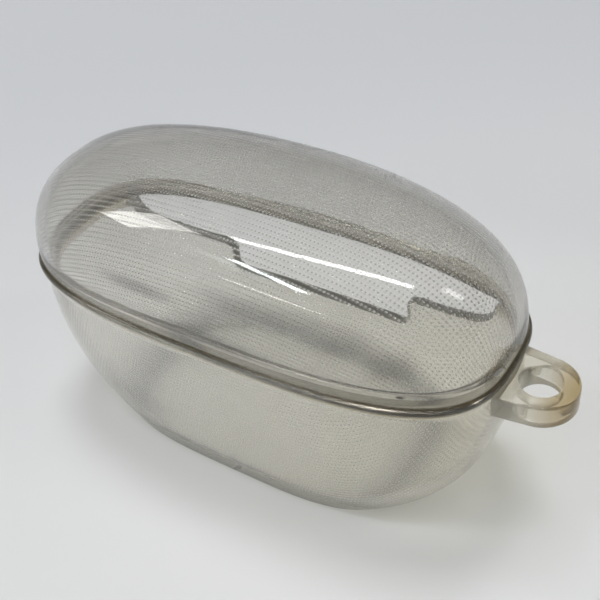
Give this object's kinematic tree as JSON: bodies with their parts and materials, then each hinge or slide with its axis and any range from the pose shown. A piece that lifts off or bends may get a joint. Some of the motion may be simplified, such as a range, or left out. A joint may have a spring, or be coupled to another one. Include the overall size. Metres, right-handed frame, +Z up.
{
  "type": "protective cover for an earphone charging case",
  "caption": "Clear soft-plastic cover in two shells for a pill-shaped earphone charging case, with a rear hinge window and a carry loop at one end.",
  "frame": {"origin": "middle of the flat foot, on the surface that the cover stands on", "axes": "+Z up from the foot, +X along the length towards the carry loop, +Y towards the rear window"},
  "size_m": [0.0774, 0.0306, 0.042],
  "materials": {
    "smoky_clear_lid": "glossy, smoky clear soft plastic with fine dots moulded inside",
    "milky_clear_base": "glossy, slightly milky clear soft plastic with fine dots moulded inside",
    "yellowed_clear_loop": "glossy clear soft plastic, yellowed with age"
  },
  "bodies": {
    "base": {"base_shell": "milky_clear_base", "carry_loop": "yellowed_clear_loop"},
    "lid": {"lid_shell": "smoky_clear_lid"}
  },
  "joints": [
    {"name": "lid_hinge", "type": "hinge", "parent": "base", "child": "lid", "pos_m": [0, 0.0113, 0.0206], "axis": [-1, 0, 0], "range_deg": [0, 95]}
  ]
}
